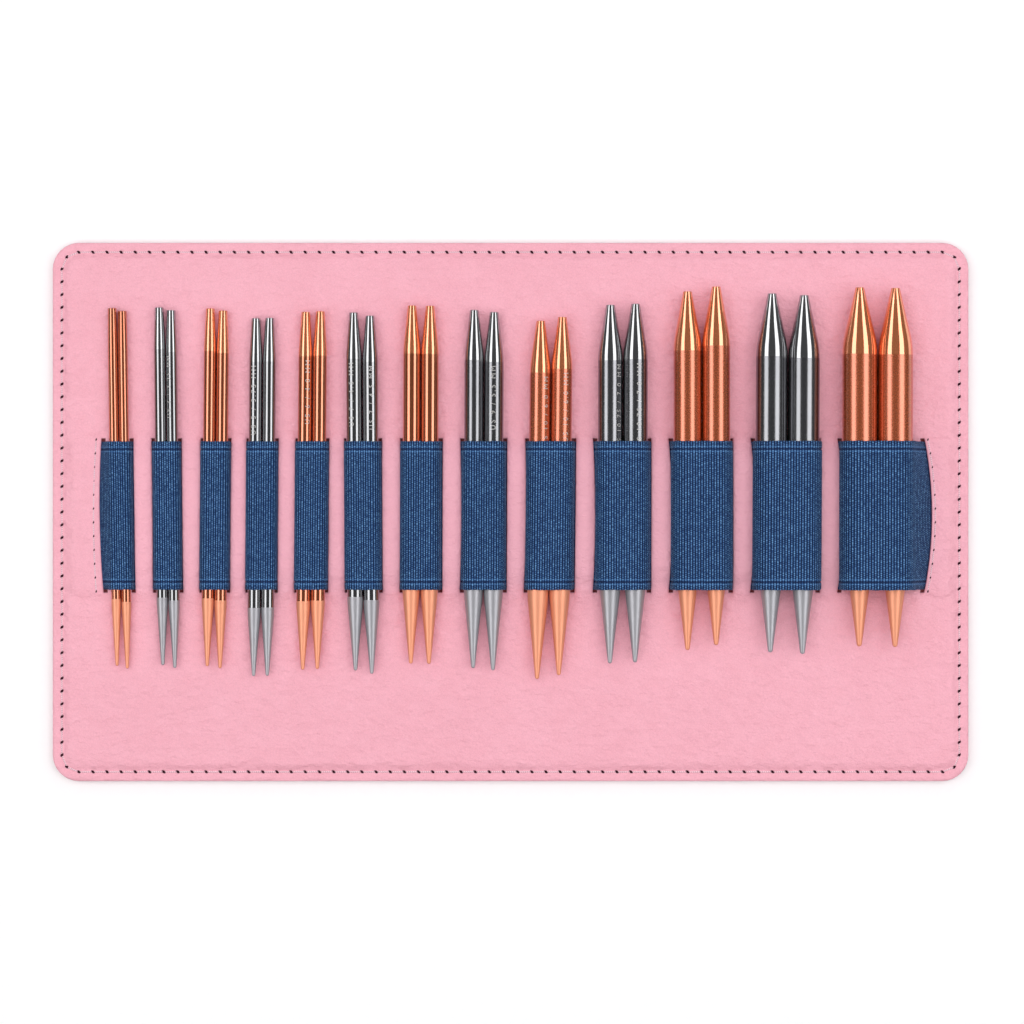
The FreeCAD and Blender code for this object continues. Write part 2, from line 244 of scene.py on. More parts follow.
class Shader:
    """A material with one Principled shader and short ways to add nodes to it."""

    def __init__(self, name):
        self.material = bpy.data.materials.new(name)
        self.material.use_nodes = True
        self.tree = self.material.node_tree
        self.main = self.tree.nodes["Principled BSDF"]

    def set(self, **values):
        for name, value in values.items():
            self.main.inputs[name.replace("_", " ")].default_value = value

    def node(self, kind, inputs=(), **settings):
        made = self.tree.nodes.new("ShaderNode" + kind)
        for name, value in settings.items():
            setattr(made, name, value)
        for name, value in dict(inputs).items():
            self.feed(made, name, value)
        return made

    def feed(self, node, name, value):
        socket = node.inputs[name]
        if isinstance(value, bpy.types.NodeSocket):
            self.tree.links.new(value, socket)
        else:
            socket.default_value = value

    def place(self):
        return self.node("TexCoord").outputs["Object"]

    def weave(self):
        return self.node("Attribute", attribute_name="weave").outputs["Vector"]

    def stretched(self, vector, scale):
        return self.node("Mapping", {"Vector": vector, "Scale": scale}).outputs["Vector"]

    def math(self, operation, a, b=0.0):
        return self.node("Math", {0: a, 1: b}, operation=operation).outputs[0]

    def noise(self, vector, scale, detail=2.0, roughness=0.5):
        inputs = {"Vector": vector, "Scale": scale, "Detail": detail, "Roughness": roughness}
        return self.node("TexNoise", inputs).outputs["Fac"]

    def ramp(self, fac, stops):
        """Colour ramp; stops are (position, colour)."""
        made = self.node("ValToRGB", {"Fac": fac})
        elements = made.color_ramp.elements
        while len(elements) < len(stops):
            elements.new(0.5)
        for element, (position, colour) in zip(elements, stops):
            element.position = position
            element.color = (*colour, 1.0)
        return made.outputs["Color"]

    def mix(self, factor, a, b, blend="MIX"):
        made = self.node("Mix", data_type="RGBA", blend_type=blend)
        self.feed(made, "Factor", factor)
        self.feed(made, "A", a)
        self.feed(made, "B", b)
        return made.outputs["Result"]

    def remap(self, fac, low, high):
        """Takes 0..1 to low..high."""
        return self.node("MapRange", {"Value": fac, "To Min": low, "To Max": high}).outputs["Result"]

    def bump(self, height, distance, strength=1.0, under=None):
        inputs = {"Height": height, "Distance": distance, "Strength": strength}
        if under is not None:
            inputs["Normal"] = under
        return self.node("Bump", inputs).outputs["Normal"]


def leather(name, pale, deep, roughness=0.45):
    """Coated leather: fine pebble grain, faint mottling and soft creases.  The weave attribute holds a
    painted highlight that makes the raised bars paler the higher they stand, and the open slits, whose
    floors a painted shade makes dark."""
    s = Shader(name)
    place = s.place()
    clouds = s.math("MULTIPLY", s.noise(place, 30.0, 3.0), 0.45)
    patches = s.math("MULTIPLY", s.noise(place, 210.0, 4.0, 0.6), 0.55)
    pebbles = s.node("TexVoronoi", {"Vector": place, "Scale": 1500.0}, feature="DISTANCE_TO_EDGE")
    cells = pebbles.outputs["Distance"]
    pores = s.noise(place, 3200.0, 2.0)
    colour = s.ramp(s.math("ADD", clouds, patches), [(0.38, deep), (0.62, pale)])
    # Painted shade: the grain's crevices, the edges of its cells, are darker.
    crevice_shade = s.ramp(cells, [(0.0, (0.86, 0.82, 0.83)), (0.12, (1.0, 1.0, 1.0))])
    shade = s.mix(0.5, colour, crevice_shade, "MULTIPLY")
    states = s.node("SeparateXYZ", {"Vector": s.weave()})
    # Painted highlight: paler where the weave's first number says the cover stands high over the elastic.
    lit_bar_colour = s.mix(states.outputs["X"], shade, (1.0, 0.475, 0.57, 1.0))
    # Painted shade: dark where the weave's second number marks an open slit.
    s.feed(s.main, "Base Color", s.mix(states.outputs["Y"], lit_bar_colour, (0.16, 0.03, 0.035, 1.0)))
    s.feed(s.main, "Roughness", s.remap(pores, roughness - 0.08, roughness + 0.1))
    creases = s.noise(s.stretched(place, (1.0, 1.6, 1.0)), 230.0, 5.0, 0.62)
    folds = s.bump(creases, 0.0022, 0.55)
    grain = s.bump(s.math("MINIMUM", cells, 0.25), 0.00014, 0.4, under=folds)
    s.feed(s.main, "Normal", s.bump(pores, 0.00003, 0.4, under=grain))
    s.set(Specular_IOR_Level=0.45, Sheen_Weight=0.05)
    return s.material


def woven_elastic():
    """Ribbed blue elastic.  The weave attribute holds ribs along the band and millimetres across."""
    s = Shader("woven_elastic")
    parts = s.node("SeparateXYZ", {"Vector": s.weave()})
    ribs, across = parts.outputs["X"], parts.outputs["Y"]
    rib_wave = s.math("COSINE", s.math("MULTIPLY", ribs, math.tau))
    rib_crest = s.node("MapRange", {"Value": rib_wave, "From Min": -1.0}).outputs["Result"]
    # Every rib is a column of small stitches, shifted by half a stitch from the next rib.
    column = s.math("FLOOR", s.math("ADD", ribs, 0.5))
    uneven = s.noise(s.stretched(s.weave(), (0.9, 1.3, 1.0)), 1.0, 2.0)
    drift = s.math("ADD", s.math("MULTIPLY", column, 0.5), s.math("MULTIPLY", uneven, 1.6))
    stitches = s.math("ADD", s.math("DIVIDE", across, 0.62), drift)
    stitch_wave = s.math("COSINE", s.math("MULTIPLY", stitches, math.tau))
    stitch_crest = s.node("MapRange", {"Value": stitch_wave, "From Min": -0.8}).outputs["Result"]
    row = s.math("FLOOR", s.math("ADD", stitches, 0.5))
    cell = s.node("CombineXYZ", {"X": column, "Y": row}).outputs["Vector"]
    luck = s.node("TexWhiteNoise", {"Vector": cell}, noise_dimensions="2D").outputs["Value"]
    fibre = s.noise(s.stretched(s.weave(), (5.0, 8.0, 1.0)), 1.0, 3.0, 0.7)
    rib = s.math("POWER", rib_crest, 1.4)
    stitch = s.math("MULTIPLY", rib, s.math("ADD", s.math("MULTIPLY", stitch_crest, 0.6), 0.4))
    # Painted highlight and shade: lighter on the crests of the ribs and stitches, darker in the hollows
    # between them; the random tone of each stitch and the fibre noise are the yarn's own.
    crest_highlight_and_tone = s.math("MULTIPLY", stitch, s.math("ADD", s.math("MULTIPLY", luck, 0.45), 0.6))
    tone = s.math("ADD", crest_highlight_and_tone, s.math("MULTIPLY", s.math("SUBTRACT", fibre, 0.5), 0.3))
    # The selvedge is closed off by a groove, with a tighter ridge beside it; the colour is darkened in the
    # groove, a painted shade, and lightened on the ridge, a painted highlight.
    from_groove = s.math("SUBTRACT", s.math("ABSOLUTE", across), BAND_HALF - SELVEDGE)
    distance = s.math("ABSOLUTE", from_groove)
    inside_groove = {"Value": distance, "From Min": 0.08, "From Max": 0.42, "To Min": 0.3}
    groove = s.node("MapRange", inside_groove).outputs["Result"]
    from_ridge = s.math("ABSOLUTE", s.math("SUBTRACT", distance, 0.65))
    on_ridge = {"Value": from_ridge, "From Max": 0.3, "To Min": 0.3, "To Max": 0.0}
    ridge_highlight = s.node("MapRange", on_ridge).outputs["Result"]
    tone = s.math("ADD", s.math("MULTIPLY", tone, groove), ridge_highlight)
    stops = [(0.06, (0.003, 0.012, 0.048)), (0.34, (0.019, 0.080, 0.245)), (0.86, (0.17, 0.38, 0.68))]
    s.feed(s.main, "Base Color", s.ramp(tone, stops))
    weave = s.bump(s.math("MULTIPLY", stitch, groove), 0.0003, 0.9)
    s.feed(s.main, "Normal", s.bump(fibre, 0.00006, 0.5, under=weave))
    s.set(Roughness=0.85, Sheen_Weight=0.05, Sheen_Roughness=0.5, Specular_IOR_Level=0.2)
    return s.material


def sewing_thread(name, colour):
    """Twisted thread.  The weave attribute holds millimetres along and turns round the thread."""
    s = Shader(name)
    parts = s.node("SeparateXYZ", {"Vector": s.weave()})
    along = s.math("DIVIDE", parts.outputs["X"], 0.55)
    ply = s.math("COSINE", s.math("MULTIPLY", s.math("ADD", along, parts.outputs["Y"]), math.tau))
    crest = s.node("MapRange", {"Value": ply, "From Min": -1.0}).outputs["Result"]
    # Painted shade: the hollows between the plies are darker than the crests.
    ply_shade = tuple(value * 0.62 for value in colour)
    s.feed(s.main, "Base Color", s.ramp(crest, [(0.0, ply_shade), (0.7, colour)]))
    s.feed(s.main, "Normal", s.bump(crest, 0.00008, 0.7))
    s.set(Roughness=0.6, Sheen_Weight=0.2)
    return s.material


def metal(name, pale, deep, roughness, metallic=0.97, coat=0.0, sparkle=0.0):
    """Anodised aluminium: coloured metal below a clear oxide coat.  sparkle is a fine blasted grain."""
    s = Shader(name)
    place = s.place()
    clouds = s.noise(place, 60.0, 2.0)
    s.feed(s.main, "Base Color", s.ramp(clouds, [(0.3, deep), (0.7, pale)]))
    grit = s.noise(place, 2600.0, 2.0)
    s.feed(s.main, "Roughness", s.remap(grit, roughness * 0.92, roughness * 1.08))
    if sparkle:
        s.feed(s.main, "Normal", s.bump(grit, 0.00003, sparkle))
    s.set(Metallic=metallic, Coat_Weight=coat, Coat_IOR=2.0, Coat_Roughness=roughness * 0.8)
    return s.material


def speckled(name, pale, deep, scale, roughness):
    """Board, foam and other plain matter with a fine speckle."""
    s = Shader(name)
    speck = s.noise(s.place(), scale, 4.0, 0.65)
    s.feed(s.main, "Base Color", s.ramp(speck, [(0.3, deep), (0.7, pale)]))
    s.feed(s.main, "Normal", s.bump(speck, 0.0001, 0.4))
    s.set(Roughness=roughness, Specular_IOR_Level=0.15)
    return s.material


PINK_PALE, PINK_DEEP = (0.93, 0.435, 0.53), (0.90, 0.405, 0.495)


SKIN = leather("pink_leather", PINK_PALE, PINK_DEEP)
BACK_SKIN = leather("pink_leather_back", (0.88, 0.40, 0.49), (0.84, 0.37, 0.455), 0.5)
ELASTIC_CLOTH = woven_elastic()
THREAD = sewing_thread("pink_thread", (0.95, 0.60, 0.68))
# Painted shade: the needle holes are flat near-black ovals, dark as the shade inside a hole.
HOLE_SHADE = speckled("needle_hole_shade", (0.05, 0.010, 0.018), (0.02, 0.004, 0.008), 4000.0, 0.95)
CARD = speckled("stiffener_card", (0.60, 0.52, 0.42), (0.46, 0.39, 0.31), 1800.0, 0.9)
FOAM_CELLS = speckled("foam_cells", (0.88, 0.88, 0.86), (0.70, 0.70, 0.68), 2600.0, 0.95)
SOCKET = metal("socket_thread", (0.30, 0.28, 0.26), (0.18, 0.17, 0.16), 0.35)
MARK = speckled("size_mark", (0.62, 0.60, 0.58), (0.42, 0.41, 0.40), 5000.0, 0.4)
# The tips' two colours: cone, shaft, shaft of a thin tip, point, and the slot in the record.
FINISHES = [
    {
        "polished": metal("copper_polished", (0.90, 0.27, 0.095), (0.85, 0.24, 0.08), 0.09, 0.7, 1.0),
        "satin": metal("copper_satin", (0.54, 0.105, 0.021), (0.50, 0.092, 0.018), 0.27, 0.7, 0.8),
        "thin": metal("copper_thin", (0.57, 0.130, 0.030), (0.53, 0.118, 0.026), 0.11, 0.82, 0.9),
        "matte": metal("copper_matte", (0.81, 0.33, 0.195), (0.76, 0.30, 0.175), 0.44, 0.42, sparkle=0.1),
        "slot": "copper_finish",
    },
    {
        "polished": metal("gunmetal_polished", (0.40, 0.40, 0.41), (0.35, 0.35, 0.36), 0.09),
        "satin": metal("gunmetal_satin", (0.245, 0.245, 0.258), (0.21, 0.21, 0.223), 0.19),
        "thin": metal("gunmetal_thin", (0.24, 0.24, 0.25), (0.21, 0.21, 0.22), 0.10, coat=0.8),
        "matte": metal("gunmetal_matte", (0.40, 0.395, 0.42), (0.35, 0.345, 0.37), 0.42, 0.6, sparkle=0.1),
        "slot": "gunmetal_finish",
    },
]


# ---------------------------------------------------------------- covers

def lean_shift(lean, y):
    """X shift of a line that leans with its pair; it fades out away from the band."""
    reach = np.clip(y - BAND_Y, -BAND_HALF - LEAN_REACH, BAND_HALF + LEAN_REACH)
    fade = 1.0 - smoothstep(BAND_HALF + LEAN_FADE[0], BAND_HALF + LEAN_FADE[1], np.abs(y - BAND_Y))
    return -np.tan(lean) * reach * fade


def needle_holes():
    """Where the thread passes through the border, in order round the board, with each side's angle."""
    hw, hh = HALF_W - STITCH_INSET, HALF_H - STITCH_INSET
    r = CORNER_R - STITCH_INSET
    straight = [
        ((-hw + r, hh), (1, 0), 2 * (hw - r), LONG_STITCHES),
        ((hw, hh - r), (0, -1), 2 * (hh - r), SHORT_STITCHES),
        ((hw - r, -hh), (-1, 0), 2 * (hw - r), LONG_STITCHES),
        ((-hw, -hh + r), (0, 1), 2 * (hh - r), SHORT_STITCHES),
    ]
    centres = [(hw - r, hh - r), (hw - r, -hh + r), (-hw + r, -hh + r), (-hw + r, hh - r)]
    holes = []
    for side, ((x, y), (ux, uy), length, count) in enumerate(straight):
        for k in range(count + 1):
            holes.append((x + ux * length * k / count, y + uy * length * k / count, side))
        cx, cy = centres[side]
        for k in range(1, CORNER_STITCHES):
            angle = math.radians(90 - 90 * side - 90 * k / CORNER_STITCHES)
            holes.append((cx + r * math.cos(angle), cy + r * math.sin(angle), side))
    return holes


HOLES = needle_holes()
HOLE_XY = np.array([hole[:2] for hole in HOLES])


PUCKER_R = 0.85


def pucker(points, depth):
    """How far the border dips round every needle hole."""
    nearest = np.full(len(points), np.inf)
    for x, y in HOLE_XY:
        nearest = np.minimum(nearest, np.hypot(points[:, 0] - x, points[:, 1] - y))
    return -depth * np.exp(-(nearest / PUCKER_R) ** 2)


def board_loop(columns, rows, arc=8):
    """Points round the inner rectangle: x, y, the angle that points outwards, and the grid point there.
    Each corner point comes arc times more, so that the rings round it bend smoothly."""
    last_column, last_row = len(columns) - 1, len(rows) - 1
    sides = [
        [(i, 0) for i in range(last_column + 1)],
        [(last_column, j) for j in range(last_row + 1)],
        [(i, last_row) for i in range(last_column, -1, -1)],
        [(0, j) for j in range(last_row, -1, -1)],
    ]
    loop = []
    for k, side in enumerate(sides):
        outwards = math.radians(90 * k - 90)
        places = [(i, j, outwards) for i, j in side]
        i, j = side[-1]
        places += [(i, j, outwards + math.pi / 2 * a / arc) for a in range(1, arc)]
        loop += [(columns[i], rows[j], angle, j * (last_column + 1) + i) for i, j, angle in places]
    return loop


SKIN_WAVE = 0.04            # the middle of the cover is this uneven at most
ENDS_INSET = (3.8, 5.2)     # the ends of the band fade out between these insets


def cover(name, columns, rows, profile, height, material, pucker_depth):
    """A leather cover: rings with the profile of the rim, closed by a grid with the given height.

    profile lists (inset from the board's edge, z) from the rim inwards.  height(x, y) gives the
    middle's z, where x is measured at the band's centre line, before the slits lean and bow."""
    grid_x, grid_y = np.meshgrid(columns, rows)
    lean = np.interp(columns, *by_column(BAR_LEANS))
    bow = np.interp(columns, *by_column(BAR_BOWS))
    flat_x = grid_x + lean_shift(lean[None, :], grid_y) + bow[None, :] * bowed(grid_y)
    middle = np.stack([flat_x.ravel(), grid_y.ravel(), height(grid_x, grid_y).ravel()], axis=1)
    loop = board_loop(columns, rows)
    anchor = np.array([entry[:2] for entry in loop])
    outwards = np.array([(math.cos(entry[2]), math.sin(entry[2])) for entry in loop])
    seats = [entry[3] for entry in loop]
    points = [middle]
    for inset, z in profile:
        ring = anchor + outwards * (CORNER_R - inset)
        # The sewn-down ends of the band run on into the rings.
        over = np.maximum(height(ring[:, 0], ring[:, 1]) - max(z, Z_TOP + SKIN_WAVE), 0.0)
        ends = over * smoothstep(*ENDS_INSET, inset)
        points.append(np.column_stack([ring, z + ends + pucker(ring, pucker_depth)]))
    faces = grid_faces(len(rows), len(columns))
    count, start = len(loop), len(middle)
    rings = [[start + k * count + i for i in range(count)] for k in range(len(profile))] + [seats]
    for outer, inner in zip(rings, rings[1:]):
        for i in range(count):
            after = (i + 1) % count
            corners = [outer[i], outer[after], inner[after], inner[i]]
            faces.append(tuple(dict.fromkeys(corners)))
    return mesh_object(name, np.concatenate(points), faces, [material])


def bowed(y):
    """1 in the middle of the band, falling in a curve to 0 at the ends of the slits."""
    return np.clip(1.0 - ((y - BAND_Y) / SLIT_HALF) ** 2, 0.0, 1.0)


def by_column(values):
    """x at the band's centre line, and a (left, right) value of the bars there; 0 at the band's ends."""
    places = []
    for (left, right), (at_left, at_right) in zip(BARS, values):
        places += [(left - SLIT_W, at_left), (left, at_left)]
        places += [(right, at_right), (right + SLIT_W, at_right)]
    places = [(-BAND_END, 0.0)] + places[2:-2] + [(BAND_END, 0.0)]
    return [x for x, value in places], [value for x, value in places]


WALL = 0.06         # width in plan of the cut faces of a slit
BAR_FADE = 3.6      # how far a bar's swell runs on past the ends of its slits
END_FADE = 1.8      # the same for the sewn-down ends
TINY = 1e-4


def bar_swell(x, along, number):
    """Share of the full rise of one bar over the cover; along is the distance from the band's middle."""
    left, right = BARS[number]
    first, last = number == 0, number == len(BARS) - 1
    if first or last:
        # A sewn-down end is flat, and slopes down to the cover beyond the end of the elastic.
        side = x - (left - 3.0) if first else right + 3.0 - x
        inside = (x < right + TINY) if first else (x > left - TINY)
        fade = 1.0 - smoothstep(SLIT_HALF - 1.0, SLIT_HALF + END_FADE, along)
        return smoothstep(0.0, 2.0, side) * inside * fade
    # Any other bar is crowned between its slits, and past them it spreads into the cover.
    middle, half = (left + right) / 2, (right - left) / 2
    crown = 0.6 + 0.4 * np.sqrt(np.clip(1 - ((x - middle) / half) ** 2, 0.0, 1.0))
    strap = crown * (np.abs(x - middle) <= half + TINY)
    root = smoothstep(-1.2, 1.6, half - np.abs(x - middle)) * 0.9
    root *= 1.0 - smoothstep(SLIT_HALF - 0.5, SLIT_HALF + BAR_FADE, along)
    blend = smoothstep(SLIT_HALF - 3.0, SLIT_HALF, along)
    return np.where(along <= SLIT_HALF, strap * (1 - blend) + root * blend * (strap > 0), root)


def cut_away(x, y):
    """Where a slit is open."""
    opened = np.zeros(x.shape, bool)
    for k, (left, right) in enumerate(BARS):
        if k:
            opened |= (x >= left - SLIT_W - TINY) & (x <= left + TINY)
        if k < len(BARS) - 1:
            opened |= (x >= right - TINY) & (x <= right + SLIT_W + TINY)
    return opened & (np.abs(y - BAND_Y) <= SLIT_HALF + TINY)


def skin_height(x, y):
    """Height of the front cover inside its padded rim."""
    along = np.abs(y - BAND_Y)
    z = Z_TOP + 0.035 * np.sin(x * 0.21 + 1.0) * np.sin(y * 0.17)
    for k, lift in enumerate(BAR_LIFTS):
        swell = bar_swell(x, along, k)
        z = z + (Z_BAR - Z_TOP) * swell + lift * lifted(y) * np.minimum(swell * 1.6, 1.0)
    return np.where(cut_away(x, y), Z_CHANNEL + 0.02, z)


def front_cover():
    inner_w, inner_h = HALF_W - CORNER_R, HALF_H - CORNER_R
    into_slit = (-SLIT_W - WALL, -SLIT_W, 0.0, WALL, 0.4, 0.9)
    past_slit = (-0.4, 0.0, WALL, 0.4, 0.9, END_FADE, BAR_FADE)
    breaks = [-inner_w, inner_w]
    for k, (left, right) in enumerate(BARS):
        if k:
            breaks += [left + extra for extra in into_slit]
        if k < len(BARS) - 1:
            breaks += [right - extra for extra in into_slit]
    columns = subdivided(breaks, 0.7)
    row_breaks = [-inner_h, inner_h]
    for side in (-1, 1):
        row_breaks += [BAND_Y + side * (SLIT_HALF + extra) for extra in past_slit]
    rows = subdivided(row_breaks, 0.75)
    # A rolled edge, the flat border with the dent of the seam in it, and the soft rise to the padding.
    profile = [
        (0.7, Z_SEAM + 0.05), (0.25, Z_SEAM + 0.04), (0.06, Z_SEAM + 0.16), (0.0, Z_SEAM + 0.45),
        (0.0, Z_BORDER - 0.62), (0.07, Z_BORDER - 0.32), (0.25, Z_BORDER - 0.11), (0.55, Z_BORDER - 0.01),
        (1.0, Z_BORDER + 0.02), (1.5, Z_BORDER + 0.01), (2.0, Z_BORDER - 0.05), (2.4, Z_BORDER - 0.12),
        (2.7, Z_BORDER - 0.14), (3.0, Z_BORDER - 0.11), (3.4, Z_BORDER), (3.8, Z_BORDER + 0.18),
        (4.2, Z_BORDER + 0.38), (4.7, Z_BORDER + 0.57), (5.2, Z_BORDER + 0.68), (5.8, Z_BORDER + 0.73),
        (6.6, Z_BORDER + 0.72),
    ]
    made = cover("front_cover_leather", columns, rows, profile, skin_height, SKIN, 0.11)
    heights = np.array([vertex.co.z for vertex in made.data.vertices]) / MM
    between = np.array([FIRST_SLIT < vertex.co.x / MM < LAST_SLIT for vertex in made.data.vertices])
    # Painted highlight: between the end slits the leather is made paler the higher it stands, to light the
    # raised bars.
    bar_highlight = 0.9 * smoothstep(Z_TOP + 0.15, Z_BAR + 2.0, heights) * between
    grid_x, grid_y = np.meshgrid(columns, rows)
    # Painted shade: the floor of every open slit is made dark.
    slit_shade = np.zeros(len(heights))
    slit_shade[:grid_x.size] = cut_away(grid_x, grid_y).ravel()
    store_weave(made, np.column_stack([bar_highlight, slit_shade]))
    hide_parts("front_cover")


def back_cover():
    inner_w, inner_h = HALF_W - CORNER_R, HALF_H - CORNER_R
    columns = subdivided([-inner_w, inner_w], 1.4)
    rows = subdivided([-inner_h, inner_h], 1.4)
    profile = [
        (0.7, Z_SEAM - 0.05), (0.25, Z_SEAM - 0.04), (0.06, Z_SEAM - 0.14), (0.0, Z_SEAM - 0.36),
        (0.08, 0.2), (0.3, 0.05), (0.7, 0.0), (1.6, 0.0), (2.15, 0.06), (2.45, 0.22), (2.7, 0.27),
        (2.95, 0.22), (3.25, 0.06), (3.9, 0.0), (5.5, 0.0),
    ]

    def flat(x, y):
        return np.zeros(x.shape)

    made = cover("back_cover_leather", columns, rows, profile, flat, BACK_SKIN, -0.06)
    made.data.flip_normals()
    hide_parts("back_cover")


# ---------------------------------------------------------------- stitching

def thread_stitch(start, end, surface, lift, width):
    """Points of one stitch that dives into a hole at each end; lift is negative on the back."""
    run = end - start
    along = run.normalized()
    side = Vector((-along.y, along.x, 0))
    sunk = 0.12 * math.copysign(1, lift)
    points, weave = [], []
    for k in range(STITCH_RINGS):
        t = k / (STITCH_RINGS - 1)
        arch = math.sin(math.pi * t) ** 0.45
        centre = start + run * t + Vector((0, 0, surface - sunk + lift * arch * 0.62))
        for a in range(STITCH_SIDES):
            angle = math.tau * a / STITCH_SIDES
            across = side * math.cos(angle) * width / 2 * (0.55 + 0.45 * arch)
            points.append(centre + across + Vector((0, 0, math.sin(angle) * abs(lift) / 2)))
            weave.append((run.length * t, a / STITCH_SIDES))
    return points, weave


def sewn(name, spans, surface, lift, width):
    """One object with a stitch for each (start, end)."""
    points, weave, faces = [], [], []
    tube = grid_faces(STITCH_RINGS, STITCH_SIDES, wrap=True)
    for start, end in spans:
        offset = len(points)
        more, coordinates = thread_stitch(start, end, surface, lift, width)
        points += more
        weave += coordinates
        faces += [tuple(offset + i for i in face) for face in tube]
    made = mesh_object(name, [tuple(p) for p in points], faces, [THREAD])
    store_weave(made, weave)
    return made


def pierced(name, places, surface, slants, length=1.25, width=0.75):
    """Slanted slots that a sewing needle leaves, drawn as flat ovals dark with painted shade; slants gives
    one angle for each place.
    """
    points, faces = [], []
    corners = 12
    for (x, y), slant in zip(places, slants):
        offset = len(points)
        c, s = math.cos(slant), math.sin(slant)
        for scale, z in ((1.0, surface), (0.45, surface + 0.015)):
            for a in range(corners):
                u = math.cos(math.tau * a / corners) * length / 2 * scale
                v = math.sin(math.tau * a / corners) * width / 2 * scale
                points.append((x + u * c - v * s, y + u * s + v * c, z))
        for a in range(corners):
            b = (a + 1) % corners
            faces.append((offset + a, offset + b, offset + corners + b, offset + corners + a))
        faces.append(tuple(offset + corners + a for a in range(corners)))
    return mesh_object(name, points, faces, [HOLE_SHADE])


def edge_stitching():
    spots = [Vector((x, y, 0)) for x, y, side in HOLES]
    spans = list(zip(spots, spots[1:] + spots[:1]))
    front = sewn("edge_thread_front", spans, Z_BORDER - 0.12, 0.3, 0.5)
    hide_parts("edge_stitching_front")
    back = sewn("edge_thread_back", spans, 0.27, -0.3, 0.55)
    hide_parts("edge_stitching_back")
    slants = [math.radians(-30 if side % 2 == 0 else 56) for x, y, side in HOLES]
    pierced("edge_needle_holes", HOLE_XY, Z_BORDER - 0.02, slants)


def band_stitching():
    """The two bowed seams that hold the ends of the elastic, each beside its slit."""
    spans, ends = [], []
    for x, bow in ((FIRST_SLIT - LEFT_SEAM, LEFT_END_BOW), (LAST_SLIT + RIGHT_SEAM, RIGHT_END_BOW)):
        spots = []
        for k in range(SEAM_STITCHES + 1):
            y = BAND_Y + BAND_HALF * (1 - 2 * k / SEAM_STITCHES) * 1.02
            spots.append(Vector((x + bow * float(bowed(y)), y, 0)))
        spans += list(zip(spots, spots[1:]))
        ends += spots
    made = sewn("band_thread", spans, Z_BAR - 0.04, 0.26, 0.42)
    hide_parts("band_stitching")
    pierced("band_needle_holes", [(spot.x, spot.y) for spot in ends], Z_BAR + 0.02,
            [math.radians(75)] * len(ends), length=0.8, width=0.4)


# ---------------------------------------------------------------- elastic

def rise_angle(reach, height, radii):
    """Slope of the straight line that touches two circles on opposite sides."""
    return math.atan2(height, reach) + math.asin(radii / math.hypot(reach, height))


def rib_pitch(size):
    """Thicker tips stretch the elastic further."""
    return 0.58 + 0.022 * size


def loop_arcs(pair, slit_left, slit_right):
    """Arcs of the elastic's centre line over one pair: centre, radius, start and end angle."""
    size, x = pair["size"], pair["x"]
    wrap = size / 2 + CLEAR + ELASTIC / 2
    z_tip, z_bend = Z_TOP + CLEAR + size / 2, Z_CHANNEL + ELASTIC / 2 + BEND_R
    offset = (size + PAIR_GAP) / 2
    up = rise_angle(x - offset - slit_left, z_tip - z_bend, wrap + BEND_R)
    down = rise_angle(slit_right - x - offset, z_tip - z_bend, wrap + BEND_R)
    quarter = math.pi / 2
    return [
        (slit_left, z_bend, BEND_R, -quarter, up - quarter),
        (x - offset, z_tip, wrap, up + quarter, quarter),
        (x + offset, z_tip, wrap, quarter, quarter - down),
        (slit_right, z_bend, BEND_R, 3 * quarter - down, 3 * quarter),
    ]


def elastic_line():
    """Dense points on the band's centre line: x, z, lean, bow of the slit and lift of the bar beside it,
    rib pitch."""
    low = Z_CHANNEL + ELASTIC / 2
    line = [(-BAND_END, low, 0.0, BAR_BOWS[0][1], 0.0, FLAT_PITCH)]

    def run_to(*place):
        before, after = np.array(line[-1][:5]), np.array(place[:5])
        count = max(1, math.ceil(math.hypot(*(after - before)[:2]) / STEP))
        for k in range(1, count + 1):
            line.append((*(before + (after - before) * k / count), place[5]))

    for k, pair in enumerate(PAIRS):
        arcs = loop_arcs(pair, BARS[k][1], BARS[k + 1][0])
        bows = (slit_bow(k, False), 0.0, 0.0, slit_bow(k, True))
        lifts = (BAR_LIFTS[k], 0.0, 0.0, BAR_LIFTS[k + 1])
        for (cx, cz, radius, a0, a1), bow, lift in zip(arcs, bows, lifts):
            rest = (pair["lean"], bow, lift, rib_pitch(pair["size"]))
            run_to(cx + radius * math.cos(a0), cz + radius * math.sin(a0), *rest)
            count = max(4, math.ceil(abs(a1 - a0) * radius / STEP))
            for i in range(1, count + 1):
                a = a0 + (a1 - a0) * i / count
                line.append((cx + radius * math.cos(a), cz + radius * math.sin(a), *rest))
    run_to(BAND_END, low, 0.0, 0.0, 0.0, FLAT_PITCH)
    return np.array(line)


def off_the_tips(x, y, z, out):
    """Moves webbing that a bowed slit would press into a tip back to the tip's surface."""
    for pair in PAIRS:
        radius = pair["size"] / 2 + CLEAR
        nearest = radius + ELASTIC / 2 + out
        for side in (-1, 1):
            axis_x = pair["x"] + side * (pair["size"] + PAIR_GAP) / 2 - math.tan(pair["lean"]) * y
            axis_z = Z_TOP + radius
            push = np.maximum(nearest / np.hypot(x - axis_x, z - axis_z), 1.0)
            x = axis_x + (x - axis_x) * push
            z = axis_z + (z - axis_z) * push
    return x, z


